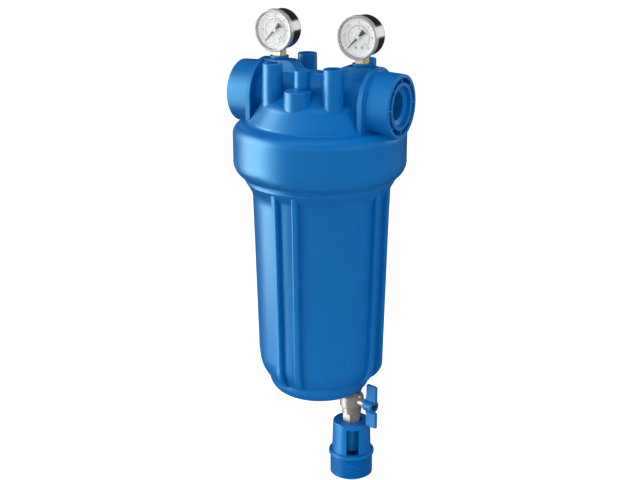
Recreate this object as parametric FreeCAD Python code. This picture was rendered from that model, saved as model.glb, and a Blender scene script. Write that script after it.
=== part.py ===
import FreeCAD, Part
import math
import os

# Cartridge filter housing for pool and spa water, in millimetres.
# The parts are drawn round the point where the axis of the ports crosses the axis of the bowl.
# They are saved with the origin at the centre of the four bracket bosses, on their top plane.
# +X points out of the outlet port, -Y is the front that the gauge dials face, +Z is up.

# Head
COLLAR_R = 93.0
COLLAR_TOP_Z = -38.0
COLLAR_LOW_Z = -66.0
LEDGE_Z = -25.5
LEDGE_R = 83.0
DOME_FOOT_R = 75.0
DOME_SHOULDER_R = 61.5
RIM_Z = -84.0
TUBE_R = 27.0
PASSAGE_R = 14.0
PASSAGE_WALL = 4.5
SPIGOT_BORE_R = 11.0
SPIGOT_SEAT_Z = -52.0
DECK_HALF_WIDTH = 9.0
DECK_LOW_Z = 27.6
DECK_HIGH_Z = 37.6
DECK_RAMP_START_X = 15.0
DECK_RAMP_END_X = 38.0
FLANGE_INNER_X = 63.8
FLANGE_THICKNESS = 5.2
FLANGE_HALF_WIDTH = 38.4
STEP_RING_R = 36.3
STEP_RING_THICKNESS = 2.2
BARREL_ROOT_R = 34.6
BARREL_FACE_R = 33.4
PORT_FACE_X = 96.0

# Port face and its parallel pipe thread of one inch (33.25 mm major diameter, 11 threads per inch)
PIPE_MAJOR_R = 16.62
PIPE_MINOR_R = 15.15
PIPE_PITCH = 2.309
PIPE_TURNS = 7
PLAIN_BORE_END_X = 69.0
COUNTERBORE_R = 21.0
COUNTERBORE_DEPTH = 4.4
LEAD_IN_R = 19.0
LEAD_IN_DEPTH = 1.4
POCKET_INNER_R = 24.8
POCKET_OUTER_R = 29.6
POCKET_DEPTH = 12.0
POCKET_COUNT = 8
POCKET_RIB = 1.5

# Bosses on the head
BRACKET_X = 36.0
BRACKET_Y = 36.5
BRACKET_TOP_Z = 39.5
BRACKET_OUTER_R = 10.5
BRACKET_HOLE_R = 7.2
BRACKET_HOLE_DEPTH = 28.0
GAUGE_X = 49.5
GAUGE_BOSS_TOP_Z = 41.0
GAUGE_THREAD_R = 4.86
VENT_Y = -38.2
VENT_PAD_Y = -47.0
VENT_PAD_R = 14.2
VENT_BOSS_R = 10.4
VENT_BASE_TOP_Z = 15.4
VENT_THREAD_R = 5.0
VENT_BORE_LOW_Z = 0.0
VENT_SEAT_R = 6.8
VENT_SEAT_DEPTH = 2.4
VENT_ORING_R = 5.3
VENT_ORING_SECTION_R = 0.95
VENT_FLANGE_R = 9.4
VENT_FLANGE_TOP_Z = 16.5
VENT_KNOB_R = 8.2
VENT_KNOB_LOW_Z = 17.0
VENT_KNOB_TOP_Z = 35.5

# Screw joint between head and bowl: one right-hand start
THREAD_PITCH = 8.0
MALE_ROOT_R = 78.0
MALE_CREST_R = 80.6
FEMALE_ROOT_R = 81.0
FEMALE_CREST_R = 78.4
RIDGE_ROOT_WIDTH = 3.8
RIDGE_CREST_WIDTH = 2.4
RIDGE_SINK = 0.4
FEMALE_START_Z = -80.5
FEMALE_TURNS = 2.0
MALE_TURNS = 2.0
SEAL_BORE_R = 78.3
SEAL_BORE_LOW_Z = -55.5
CHAMBER_FLOOR_Z = -45.0

# Bowl
BOWL_TOP_Z = -45.6
BOWL_COLLAR_R = 80.6
BOWL_COLLAR_TOP_Z = -84.5
BOWL_COLLAR_LOW_Z = -88.0
BOWL_SHOULDER_R = 72.9
BOWL_SHOULDER_Z = -104.0
BOWL_FOOT_R = 67.4
BOWL_FOOT_Z = -288.0
BOWL_STEP_R = 57.2
BOWL_STEP_Z = -313.0
BOWL_BASE_R = 44.0
BOWL_BOTTOM_Z = -332.0
BOWL_FLOOR_Z = -325.0
RIB_PAIR_HALF_ANGLE = 9.2
RIB_PROUD = 5.8
RIB_WIDTH = 7.0
CARTRIDGE_SEAT_Z = -303.5

# O-ring of the bowl
ORING_SECTION_R = 1.95
ORING_MEAN_R = 76.3
ORING_Z = -51.0

# Cartridge of 4 1/2 inch by about 10 inch
CARTRIDGE_R = 57.0
CARTRIDGE_CAP_HEIGHT = 7.0
CARTRIDGE_BORE_R = 14.0
GASKET_THICKNESS = 3.0
PLEAT_COUNT = 56
PLEAT_TIP_R = 55.0
PLEAT_ROOT_R = 30.0
PLEAT_SHEET = 1.3
CORE_R = 19.0
CORE_WALL = 1.8

# Gauge of 40 mm nominal size
GAUGE_Z = 68.5
GAUGE_CASE_R = 21.2
GAUGE_RIM_R = 22.6
GAUGE_FRONT_Y = -13.5
GAUGE_RIM_DEPTH = 6.5
GAUGE_BACK_Y = 11.8
GAUGE_CASE_WALL = 1.3
GAUGE_SHANK_HALF = 5.9
GAUGE_NECK_R = 4.9
GAUGE_WINDOW_HEIGHT = 11.0
WINDOW_THICKNESS = 1.3
DIAL_R = 19.7
DIAL_RIM_WALL = 0.6
DIAL_RIM_HEIGHT = 10.8
DIAL_HEIGHT = 7.3
DIAL_THICKNESS = 0.5
DIAL_SCREW_X = 3.7
DIAL_SCREW_Z = -10.5
DIAL_SCREW_HEAD_R = 1.5
POINTER_HEIGHT = 9.2
POINTER_THICKNESS = 0.4
POINTER_REACH = 16.3
POINTER_TAIL = 9.0
POINTER_TAIL_HALF = 2.8
POINTER_CAP_R = 2.1
POINTER_CAP_TOP = 10.6
POINTER_REST_ANGLE = 225.0

# Gauge movement: the pinion on the pointer's arbor is driven by a toothed quadrant
PINION_TEETH = 10
SECTOR_TEETH = 60
GEAR_MODULE = 0.4
GEAR_ADDENDUM = 0.28
GEAR_DEDENDUM = 0.5
TOOTH_ROOT_HALF = 0.32
TOOTH_TIP_HALF = 0.12
GEAR_LOW = 2.4
GEAR_HIGH = 4.6
SECTOR_FIRST_ANGLE = 122.0
SECTOR_LAST_ANGLE = 193.0
ARBOR_R = 0.8
BACK_PLATE_HEIGHT = 0.6
PLATE_HEIGHT = 5.4
PLATE_THICKNESS = 0.8
PILLAR_R = 0.8
BOURDON_R = 15.6
BOURDON_LOW = -4.6
BOURDON_HIGH = -0.8
BOURDON_START_ANGLE = -88.0
BOURDON_SWEEP = 265.0

# Drain valve of quarter-inch size, set off the centre of the bowl towards the outlet side
VALVE_X = 41.0
VALVE_TURN = -17.0
VALVE_SEAT_Z = -327.5
VALVE_RECESS_R = 12.2
VALVE_SEAL_THICKNESS = 1.5
VALVE_THREAD_R = 6.58
VALVE_BODY_R = 13.5
VALVE_STEM_Z = -338.2
VALVE_BODY_LOW_Z = -351.5
VALVE_BODY_BORE_R = 8.8
VALVE_HEX = 19.0
VALVE_HEX_HEIGHT = 2.9
VALVE_RING_R = 10.9
VALVE_END_HEX = 17.6
VALVE_END_HEX_TOP_Z = -354.6
VALVE_END_HEX_TURN = 63.0
VALVE_END_R = 8.33
BALL_R = 6.2
BALL_BORE_R = 4.2
BALL_SLOT_HALF = 1.5
SEAT_LENGTH = 2.9
STEM_R = 3.2
STEM_TIP_X = 5.2
STEM_BOSS_R = 4.7
STEM_BOSS_END_X = 22.0
STEM_SEAL_PLACES = (11.5, 14.5)
HUB_START_X = 22.8
HUB_LENGTH = 12.4
HUB_R = 7.2
WING_START_X = 24.0
WING_WIDTH = 14.3
WING_REACH = 25.0
WING_THICKNESS = 4.0

# Drain adapter with an air gap and a pipe thread of one and a half inches
ADAPTER_TOP_Z = -366.3
ADAPTER_LIP_Z = -363.9
ADAPTER_LIP_R = 13.0
ADAPTER_RECESS_R = 12.0
ADAPTER_TOP_R = 21.0
ADAPTER_NECK_R = 22.1
ADAPTER_FLANGE_Z = -400.6
ADAPTER_FLANGE_R = 25.6
ADAPTER_FLANGE_THICKNESS = 4.6
ADAPTER_BOTTOM_Z = -429.0
ADAPTER_WALL = 3.0
ADAPTER_THREAD_R = 23.9
ADAPTER_THREAD_ROOT_R = 22.42
ADAPTER_THREAD_TURNS = 9
ADAPTER_WINDOW_HALF_ANGLE = 20.0
ADAPTER_WINDOW_ANGLE = -57.5
ADAPTER_WINDOW_COUNT = 3

RUNNING = 0.05
X_AXIS = FreeCAD.Vector(1, 0, 0)
Y_AXIS = FreeCAD.Vector(0, 1, 0)
Z_AXIS = FreeCAD.Vector(0, 0, 1)
ORIGIN = FreeCAD.Vector(0, 0, 0)


def vec(x, y, z):
    return FreeCAD.Vector(x, y, z)


def cylinder(radius, start, direction, length):
    return Part.makeCylinder(radius, length, start, direction)


def tube(outer_r, inner_r, start, direction, length):
    outer = cylinder(outer_r, start, direction, length)
    return outer.cut(cylinder(inner_r, start, direction, length))


def disc(radius, low_z, high_z, x=0.0, y=0.0):
    return cylinder(radius, vec(x, y, low_z), Z_AXIS, high_z - low_z)


def block(x0, x1, y0, y1, z0, z1):
    return Part.makeBox(x1 - x0, y1 - y0, z1 - z0, vec(x0, y0, z0))


def outline(start, *steps):
    """Closed wire in the (radius, height) plane; a step is an end point or an arc's middle and end."""
    edges = []
    here = vec(start[0], 0, start[1])
    for step in steps:
        if isinstance(step[0], tuple):
            middle = vec(step[0][0], 0, step[0][1])
            end = vec(step[1][0], 0, step[1][1])
            edges.append(Part.Arc(here, middle, end).toShape())
        else:
            end = vec(step[0], 0, step[1])
            edges.append(Part.makeLine(here, end))
        here = end
    first = vec(start[0], 0, start[1])
    if here.distanceToPoint(first) > 1e-6:
        edges.append(Part.makeLine(here, first))
    return Part.Wire(edges)


def revolve(start, *steps):
    """Solid of revolution about Z from an outline in the (radius, height) plane."""
    return Part.Face(outline(start, *steps)).revolve(ORIGIN, Z_AXIS, 360)


def prism(points, direction):
    wire = Part.makePolygon(points + [points[0]])
    return Part.Face(wire).extrude(direction)


def hexagon(across_flats, low_z, high_z, x=0.0, y=0.0, turn=0.0):
    corner_r = across_flats / math.sqrt(3)
    points = []
    for index in range(6):
        angle = math.radians(turn + 60 * index)
        points.append(vec(x + corner_r * math.cos(angle), y + corner_r * math.sin(angle), low_z))
    return prism(points, vec(0, 0, high_z - low_z))


def chamfered_hexagon(across_flats, low_z, high_z, x=0.0, y=0.0, turn=0.0):
    """Hexagon whose corners are turned down at both ends, as on a bar-turned fitting."""
    corner_r = across_flats / math.sqrt(3)
    chamfer = corner_r - across_flats / 2
    drop = chamfer * 0.6
    barrel = revolve(
        (0, low_z), (corner_r - chamfer, low_z), (corner_r, low_z + drop),
        (corner_r, high_z - drop), (corner_r - chamfer, high_z), (0, high_z))
    barrel.translate(vec(x, y, 0))
    return hexagon(across_flats, low_z, high_z, x, y, turn).common(barrel)


def union(shapes):
    return shapes[0].multiFuse(shapes[1:]).removeSplitter()


def turned(shape, axis_point, axis, angle):
    copy = shape.copy()
    copy.rotate(axis_point, axis, angle)
    return copy


def mirrored_x(shape):
    return shape.mirror(ORIGIN, X_AXIS)


def helical_ridge(inner_r, outer_r, inner_width, outer_width, start_z, turns):
    """Right-hand screw ridge of trapezoid section, centred on start_z at the angle of +X."""
    helix = Part.makeHelix(THREAD_PITCH, THREAD_PITCH * turns, (inner_r + outer_r) / 2)
    helix.translate(vec(0, 0, start_z))
    section = Part.makePolygon([
        vec(inner_r, 0, start_z - inner_width / 2), vec(outer_r, 0, start_z - outer_width / 2),
        vec(outer_r, 0, start_z + outer_width / 2), vec(inner_r, 0, start_z + inner_width / 2),
        vec(inner_r, 0, start_z - inner_width / 2)])
    pipe = Part.BRepOffsetAPI.MakePipeShell(Part.Wire(helix.Edges))
    pipe.setFrenetMode(True)
    pipe.add(section)
    pipe.build()
    pipe.makeSolid()
    return pipe.shape()


def grooved_rod(start, crest_r, root_r, pitch, turns):
    """Rod along Z, up from start, whose thread is drawn as rings with narrow flat crests."""
    flat = pitch * 0.22
    slope = (pitch - 2 * flat) / 2
    points = [(crest_r, start)]
    for index in range(turns):
        low = start + index * pitch
        points.append((crest_r, low + flat))
        points.append((root_r, low + flat + slope))
        points.append((root_r, low + 2 * flat + slope))
        points.append((crest_r, low + pitch))
    points.append((crest_r, start + turns * pitch + flat))
    points.append((0, start + turns * pitch + flat))
    return revolve((0, start), *points)


# ---------------------------------------------------------------- head


def head_body():
    """Collar, ledge and dome as one turned shape, solid inside."""
    return revolve(
        (0, -40), (60, -40), (60, RIM_Z + 4), (FEMALE_ROOT_R - 2, RIM_Z + 4), (FEMALE_ROOT_R - 2, RIM_Z),
        (82.6, RIM_Z), ((83.1, RIM_Z + 0.3), (83.3, RIM_Z + 0.9)), (83.5, -82.0),
        ((90.3, -75.6), (COLLAR_R, COLLAR_LOW_Z)),
        (COLLAR_R, COLLAR_TOP_Z), ((89.9, -29.2), (LEDGE_R, LEDGE_Z)),
        (DOME_FOOT_R + 2.4, LEDGE_Z),
        ((DOME_FOOT_R + 0.3, LEDGE_Z + 0.9), (DOME_FOOT_R - 1.2, LEDGE_Z + 3.2)),
        (DOME_SHOULDER_R + 1.5, -7.0), ((58.4, -1.6), (52.0, 1.4)), (40.0, 6.5), (0, 10.0))


def deck():
    """Stiffening rib along the top of the tube, stepping up to both gauge bosses."""
    edges = []
    half = DECK_HALF_WIDTH
    low = DECK_LOW_Z
    high = DECK_HIGH_Z
    x0 = DECK_RAMP_START_X
    x1 = DECK_RAMP_END_X
    xm = (x0 + x1) / 2
    zm = (low + high) / 2
    end = FLANGE_INNER_X + 1
    ramp = Part.BezierCurve()
    ramp.setPoles([vec(x0, -half, low), vec(xm, -half, low), vec(xm, -half, zm), vec(xm, -half, high),
                   vec(x1, -half, high)])
    mirror_ramp = Part.BezierCurve()
    mirror_ramp.setPoles([vec(-x1, -half, high), vec(-xm, -half, high), vec(-xm, -half, zm),
                          vec(-xm, -half, low), vec(-x0, -half, low)])
    edges.append(Part.makeLine(vec(-end, -half, 0), vec(-end, -half, high)))
    edges.append(Part.makeLine(vec(-end, -half, high), vec(-x1, -half, high)))
    edges.append(mirror_ramp.toShape())
    edges.append(Part.makeLine(vec(-x0, -half, low), vec(x0, -half, low)))
    edges.append(ramp.toShape())
    edges.append(Part.makeLine(vec(x1, -half, high), vec(end, -half, high)))
    edges.append(Part.makeLine(vec(end, -half, high), vec(end, -half, 0)))
    edges.append(Part.makeLine(vec(end, -half, 0), vec(-end, -half, 0)))
    return Part.Face(Part.Wire(edges)).extrude(vec(0, 2 * half, 0))


def port_side():
    """Flange plate, step ring and port barrel of the outlet side, solid inside."""
    x0 = FLANGE_INNER_X
    x1 = x0 + FLANGE_THICKNESS
    plate = cylinder(FLANGE_HALF_WIDTH, vec(x0, 0, 0), X_AXIS, FLANGE_THICKNESS)
    plate = plate.fuse(block(x0, x1, -FLANGE_HALF_WIDTH, FLANGE_HALF_WIDTH, LEDGE_Z - 3, 0))
    step = cylinder(STEP_RING_R, vec(x1, 0, 0), X_AXIS, STEP_RING_THICKNESS)
    barrel = revolve(
        (0, x1 - 1), (BARREL_ROOT_R, x1 - 1), (BARREL_FACE_R, PORT_FACE_X - 0.8),
        ((BARREL_FACE_R - 0.2, PORT_FACE_X - 0.2), (BARREL_FACE_R - 0.8, PORT_FACE_X)), (0, PORT_FACE_X))
    barrel.rotate(ORIGIN, Y_AXIS, 90)
    foot = cylinder(BARREL_ROOT_R - 1, vec(45, 0, 0), X_AXIS, x0 - 44).common(
        disc(LEDGE_R - 6, LEDGE_Z - 4, LEDGE_Z + 12))
    return union([plate, step, barrel, foot])


def bracket_boss(x, y):
    """Open tube that takes one fixing of the wall bracket; slightly drafted, with a thin raised lip."""
    boss = revolve(
        (0, -16), (BRACKET_OUTER_R + 0.8, -16), (BRACKET_OUTER_R, BRACKET_TOP_Z - 0.6),
        (BRACKET_OUTER_R - 0.6, BRACKET_TOP_Z), (0, BRACKET_TOP_Z))
    foot = revolve((0, -16), (BRACKET_OUTER_R + 3.2, -16), ((BRACKET_OUTER_R + 1.6, 4), (0, 12)))
    boss = boss.fuse(foot.common(boss))
    boss.translate(vec(x, y, 0))
    return boss


def gauge_boss():
    """Flared cup on the deck that a gauge screws into."""
    cup = revolve(
        (0, 20), (8.2, 20), (8.2, 31), ((8.6, 35.5), (10.0, 38.6)), (10.3, GAUGE_BOSS_TOP_Z - 0.5),
        (9.8, GAUGE_BOSS_TOP_Z), (0, GAUGE_BOSS_TOP_Z))
    cup.translate(vec(GAUGE_X, 0, 0))
    return cup


def vent_base():
    """Round pad on the dome, and the smaller boss behind its middle that the air vent screws into."""
    placed = []
    for radius, y in ((VENT_PAD_R, VENT_PAD_Y), (VENT_BOSS_R, VENT_Y)):
        base = revolve(
            (0, -12), (radius + 0.6, -12), (radius, VENT_BASE_TOP_Z - 0.7),
            (radius - 0.7, VENT_BASE_TOP_Z), (0, VENT_BASE_TOP_Z))
        base.translate(vec(0, y, 0))
        placed.append(base)
    return union(placed)


def chamber():
    """Water space under the dome, around the outlet passage and the centre spigot."""
    wall_r = PASSAGE_R + PASSAGE_WALL
    space = revolve(
        (0, CHAMBER_FLOOR_Z - 1), (71.5, CHAMBER_FLOOR_Z - 1), (71.5, -37), (60, -15), (50, -7), (0, -4))
    space = space.cut(cylinder(wall_r, vec(0, 0, 0), X_AXIS, 80))
    space = space.cut(disc(SPIGOT_BORE_R + PASSAGE_WALL, -60, 0))
    space = space.cut(disc(wall_r, -PASSAGE_R - PASSAGE_WALL, 0))
    return space.cut(disc(9.5, -20, 0, 0, VENT_Y))


def passages():
    """Outlet passage with its elbow down the spigot, and the inlet passage into the chamber."""
    outlet = cylinder(PASSAGE_R, ORIGIN, X_AXIS, PLAIN_BORE_END_X + 1)
    elbow = Part.makeSphere(PASSAGE_R)
    spigot_bore = disc(SPIGOT_BORE_R, -90, 0)
    inlet_start = -PLAIN_BORE_END_X - 1
    inlet = cylinder(PASSAGE_R, vec(inlet_start, 0, 0), X_AXIS, -inlet_start - PASSAGE_R - PASSAGE_WALL - 8)
    return union([outlet, elbow, spigot_bore]), inlet


def port_bore():
    """Counterbore, lead-in, pipe thread and plain bore of the outlet side, as the solid to take away."""
    floor_x = PORT_FACE_X - COUNTERBORE_DEPTH
    thread = grooved_rod(0, PIPE_MINOR_R, PIPE_MAJOR_R, PIPE_PITCH, PIPE_TURNS)
    thread.rotate(ORIGIN, Y_AXIS, -90)
    thread.translate(vec(floor_x, 0, 0))
    lead_in_start = vec(floor_x - LEAD_IN_DEPTH, 0, 0)
    lead_in = Part.makeCone(PIPE_MAJOR_R, LEAD_IN_R, LEAD_IN_DEPTH, lead_in_start, X_AXIS)
    mouth = cylinder(COUNTERBORE_R, vec(floor_x, 0, 0), X_AXIS, COUNTERBORE_DEPTH + 1)
    plain = cylinder(PIPE_MINOR_R, vec(PLAIN_BORE_END_X, 0, 0), X_AXIS, floor_x - PLAIN_BORE_END_X)
    return union([mouth, lead_in, thread, plain])


def port_pockets():
    """Ring of blind pockets in the port face, parted by thin ribs."""
    start = vec(PORT_FACE_X - POCKET_DEPTH, 0, 0)
    ring = tube(POCKET_OUTER_R, POCKET_INNER_R, start, X_AXIS, POCKET_DEPTH + 1)
    rib = block(PORT_FACE_X - POCKET_DEPTH - 1, PORT_FACE_X + 2, -POCKET_RIB / 2, POCKET_RIB / 2, 20, 35)
    ribs = [turned(rib, ORIGIN, X_AXIS, 360 / POCKET_COUNT * index) for index in range(POCKET_COUNT)]
    return ring.cut(Part.makeCompound(ribs))


def screw_socket():
    """Bore of the head's screw joint: entry, thread ground and seal bore, as the solid to take away."""
    return revolve(
        (0, RIM_Z - 1), (FEMALE_ROOT_R + 0.3, RIM_Z - 1), (FEMALE_ROOT_R + 0.3, RIM_Z + 0.3),
        (FEMALE_ROOT_R, RIM_Z + 0.6), (FEMALE_ROOT_R, SEAL_BORE_LOW_Z - 2.6),
        (SEAL_BORE_R, SEAL_BORE_LOW_Z), (SEAL_BORE_R, CHAMBER_FLOOR_Z), (0, CHAMBER_FLOOR_Z))


def spigot():
    """Centre spout that carries filtered water up; its lower face is the seat of the cartridge gasket."""
    outer_r = SPIGOT_BORE_R + PASSAGE_WALL
    seat = tube(outer_r + 2.5, SPIGOT_BORE_R, vec(0, 0, SPIGOT_SEAT_Z), Z_AXIS, 6)
    stem = tube(outer_r, SPIGOT_BORE_R, vec(0, 0, SPIGOT_SEAT_Z), Z_AXIS, -SPIGOT_SEAT_Z - PASSAGE_R)
    guide = tube(CARTRIDGE_BORE_R - 0.8, SPIGOT_BORE_R, vec(0, 0, SPIGOT_SEAT_Z - 12), Z_AXIS, 14)
    return union([seat, stem, guide])


def gauge_bore(x):
    thread = disc(GAUGE_THREAD_R, GAUGE_BOSS_TOP_Z - 12, GAUGE_BOSS_TOP_Z + 1, x)
    return thread.fuse(disc(2.0, 5, GAUGE_BOSS_TOP_Z - 11, x))


def head():
    shape = union([
        head_body(), deck(),
        cylinder(TUBE_R, vec(-FLANGE_INNER_X - 1, 0, 0), X_AXIS, 2 * FLANGE_INNER_X + 2),
        port_side(), mirrored_x(port_side()), gauge_boss(), mirrored_x(gauge_boss()), vent_base(),
        bracket_boss(BRACKET_X, BRACKET_Y), bracket_boss(-BRACKET_X, BRACKET_Y),
        bracket_boss(BRACKET_X, -BRACKET_Y), bracket_boss(-BRACKET_X, -BRACKET_Y)])
    shape = shape.cut(screw_socket())
    shape = shape.cut(chamber())
    shape = shape.fuse(spigot())
    for passage in passages():
        shape = shape.cut(passage)
    for bore in (port_bore(), port_pockets()):
        shape = shape.cut(bore)
        shape = shape.cut(mirrored_x(bore))
    for x in (-GAUGE_X, GAUGE_X):
        shape = shape.cut(gauge_bore(x))
    for x in (-BRACKET_X, BRACKET_X):
        for y in (-BRACKET_Y, BRACKET_Y):
            hole_low = BRACKET_TOP_Z - BRACKET_HOLE_DEPTH
            shape = shape.cut(disc(BRACKET_HOLE_R, hole_low, BRACKET_TOP_Z + 1, x, y))
    shape = shape.cut(disc(VENT_THREAD_R + RUNNING, VENT_BORE_LOW_Z, VENT_BASE_TOP_Z + 1, 0, VENT_Y))
    shape = shape.cut(disc(VENT_SEAT_R, VENT_BASE_TOP_Z - VENT_SEAT_DEPTH, VENT_BASE_TOP_Z + 1, 0, VENT_Y))
    shape = shape.cut(disc(1.8, -25, VENT_BORE_LOW_Z + 1, 0, VENT_Y))
    ridge = helical_ridge(
        FEMALE_CREST_R, FEMALE_ROOT_R + RIDGE_SINK, RIDGE_CREST_WIDTH, RIDGE_ROOT_WIDTH,
        FEMALE_START_Z, FEMALE_TURNS)
    return shape.fuse(ridge)


# ---------------------------------------------------------------- bowl


def bowl_wall():
    """Turned shell of the bowl with its flange, flare, rounded foot and floor."""
    groove_low = ORING_Z - ORING_SECTION_R - 0.25
    groove_high = ORING_Z + ORING_SECTION_R + 0.25
    groove_r = ORING_MEAN_R - ORING_SECTION_R - RUNNING
    return revolve(
        (0, BOWL_BOTTOM_Z), (BOWL_BASE_R - 2, BOWL_BOTTOM_Z),
        ((52.6, -325.2), (BOWL_STEP_R - 0.6, BOWL_STEP_Z - 3)),
        (BOWL_STEP_R, BOWL_STEP_Z), ((64.3, -301.6), (BOWL_FOOT_R, BOWL_FOOT_Z)),
        (BOWL_SHOULDER_R - 0.3, BOWL_SHOULDER_Z - 4), ((73.1, -103), (74.6, -98.2)),
        (BOWL_COLLAR_R, BOWL_COLLAR_LOW_Z), (BOWL_COLLAR_R, BOWL_COLLAR_TOP_Z),
        (MALE_ROOT_R, BOWL_COLLAR_TOP_Z), (MALE_ROOT_R, groove_low), (groove_r, groove_low),
        (groove_r, groove_high), (MALE_ROOT_R, groove_high), (MALE_ROOT_R, BOWL_TOP_Z - 1.2),
        (MALE_ROOT_R - 1.2, BOWL_TOP_Z), (71.5, BOWL_TOP_Z), (70.5, -47.0), (67.2, BOWL_SHOULDER_Z),
        (62.0, BOWL_FOOT_Z), (58.6, -303.8), (51.6, -311.0), (50.5, -318.0),
        ((48.3, -323.2), (43.0, BOWL_FLOOR_Z)), (0, BOWL_FLOOR_Z))


def bowl_rib():
    """One upright rib on the +X side, which fades into the flare above and the rounded foot below."""
    half = RIB_WIDTH / 2
    start = vec(60, -half, -90.5)
    points = [
        (79.0, -90.5), (BOWL_SHOULDER_R + RIB_PROUD - 0.9, -118.0), (BOWL_FOOT_R + RIB_PROUD, BOWL_FOOT_Z),
        ((70.0, -302.9), (BOWL_STEP_R + 0.8, BOWL_STEP_Z - 0.5)), (60, -300)]
    edges = []
    here = start
    for point in points:
        if isinstance(point[0], tuple):
            end = vec(point[1][0], -half, point[1][1])
            edges.append(Part.Arc(here, vec(point[0][0], -half, point[0][1]), end).toShape())
        else:
            end = vec(point[0], -half, point[1])
            edges.append(Part.makeLine(here, end))
        here = end
    edges.append(Part.makeLine(here, start))
    rib = Part.Face(Part.Wire(edges)).extrude(vec(0, RIB_WIDTH, 0))
    crest = [edge for edge in rib.Edges if edge.BoundBox.YLength < 0.01 and edge.BoundBox.XMax > 64
             and edge.BoundBox.ZLength > 12]
    return rib.makeFillet(1.9, crest)


def bowl_ribs():
    rib = bowl_rib()
    ribs = []
    for quarter in range(4):
        for side in (-1, 1):
            ribs.append(turned(rib, ORIGIN, Z_AXIS, 90 * quarter + side * RIB_PAIR_HALF_ANGLE))
    return ribs


def cartridge_support():
    """Ring, spigot and cross walls on the floor that centre and carry the cartridge."""
    floor_centre = vec(0, 0, BOWL_FLOOR_Z - 1)
    seat_height = CARTRIDGE_SEAT_Z - BOWL_FLOOR_Z
    ring = tube(26.0, 22.5, floor_centre, Z_AXIS, seat_height + 1)
    pin = tube(CARTRIDGE_BORE_R - 0.6, 9.0, floor_centre, Z_AXIS, seat_height + 12)
    walls = []
    for index in range(4):
        wall = block(12, 48, -1.5, 1.5, BOWL_FLOOR_Z - 1, CARTRIDGE_SEAT_Z - 6)
        walls.append(turned(wall, ORIGIN, Z_AXIS, 45 + 90 * index))
    return [ring, pin] + walls


def bowl():
    drain_boss = disc(11.5, BOWL_FLOOR_Z - 2, -314.0, VALVE_X)
    shape = union([bowl_wall()] + bowl_ribs() + cartridge_support() + [drain_boss])
    shape = shape.cut(disc(VALVE_RECESS_R, BOWL_BOTTOM_Z - 1, VALVE_SEAT_Z, VALVE_X))
    shape = shape.cut(disc(VALVE_THREAD_R + RUNNING, BOWL_BOTTOM_Z, -310, VALVE_X))
    ridge = helical_ridge(
        MALE_ROOT_R - RIDGE_SINK, MALE_CREST_R, RIDGE_ROOT_WIDTH, RIDGE_CREST_WIDTH,
        FEMALE_START_Z + THREAD_PITCH / 2, MALE_TURNS)
    return shape.fuse(ridge)


def bowl_oring():
    return Part.makeTorus(ORING_MEAN_R, ORING_SECTION_R, vec(0, 0, ORING_Z), Z_AXIS)


# ---------------------------------------------------------------- cartridge


def cartridge_top_z():
    return SPIGOT_SEAT_Z - RUNNING


def cartridge_bottom_z():
    return CARTRIDGE_SEAT_Z + RUNNING


def cartridge_gasket(low_z):
    """Flat soft washer let into the middle of a cap."""
    return tube(26.0, CARTRIDGE_BORE_R, vec(0, 0, low_z), Z_AXIS, GASKET_THICKNESS)


def cartridge_cap():
    """Upper end cap, face up at z = 0, with a rolled skirt and a seat for the gasket."""
    return revolve(
        (CARTRIDGE_BORE_R + 0.2, -GASKET_THICKNESS), (26.2, -GASKET_THICKNESS), (26.2, -1.0),
        (CARTRIDGE_R - 1.5, -1.0), ((CARTRIDGE_R - 0.4, -1.4), (CARTRIDGE_R, -2.5)),
        (CARTRIDGE_R, -CARTRIDGE_CAP_HEIGHT - 2), (CARTRIDGE_R - 1.2, -CARTRIDGE_CAP_HEIGHT - 2),
        (CARTRIDGE_R - 1.2, -CARTRIDGE_CAP_HEIGHT), (CARTRIDGE_BORE_R + 0.2, -CARTRIDGE_CAP_HEIGHT))


def cartridge_top_cap():
    cap = cartridge_cap()
    cap.translate(vec(0, 0, cartridge_top_z()))
    return cap


def cartridge_bottom_cap():
    cap = cartridge_cap().mirror(ORIGIN, Z_AXIS)
    cap.translate(vec(0, 0, cartridge_bottom_z()))
    return cap


def pleat_points(offset, z):
    """Zigzag of pleat folds: the sheet's outer or inner side, by the sign of the offset."""
    points = []
    for index in range(PLEAT_COUNT):
        angle = 2 * math.pi * index / PLEAT_COUNT
        half = math.pi / PLEAT_COUNT
        tip = PLEAT_TIP_R + offset
        root = PLEAT_ROOT_R + offset
        points.append(vec(tip * math.cos(angle), tip * math.sin(angle), z))
        points.append(vec(root * math.cos(angle + half), root * math.sin(angle + half), z))
    return points


def cartridge_media():
    """Pleated filter sheet between the two caps."""
    low_z = cartridge_bottom_z() + CARTRIDGE_CAP_HEIGHT
    height = cartridge_top_z() - CARTRIDGE_CAP_HEIGHT - low_z
    outer = prism(pleat_points(0, low_z), vec(0, 0, height))
    inner = prism(pleat_points(-4 * PLEAT_SHEET, low_z - 1), vec(0, 0, height + 2))
    return outer.cut(inner)


def cartridge_core():
    """Perforated tube that holds the pleats apart from the clean water."""
    low_z = cartridge_bottom_z() + CARTRIDGE_CAP_HEIGHT
    height = cartridge_top_z() - CARTRIDGE_CAP_HEIGHT - low_z
    core = tube(CORE_R, CORE_R - CORE_WALL, vec(0, 0, low_z), Z_AXIS, height)
    rows = 9
    columns = 6
    pitch = height / rows
    slots = []
    for row in range(rows):
        for column in range(columns):
            z = low_z + pitch * (row + 0.5)
            slot = block(CORE_R - CORE_WALL - 2, CORE_R + 2, -3.5, 3.5, z - 7, z + 7)
            slots.append(turned(slot, ORIGIN, Z_AXIS, 360 / columns * (column + 0.5 * (row % 2))))
    return core.cut(Part.makeCompound(slots))


# ---------------------------------------------------------------- air vent


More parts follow.
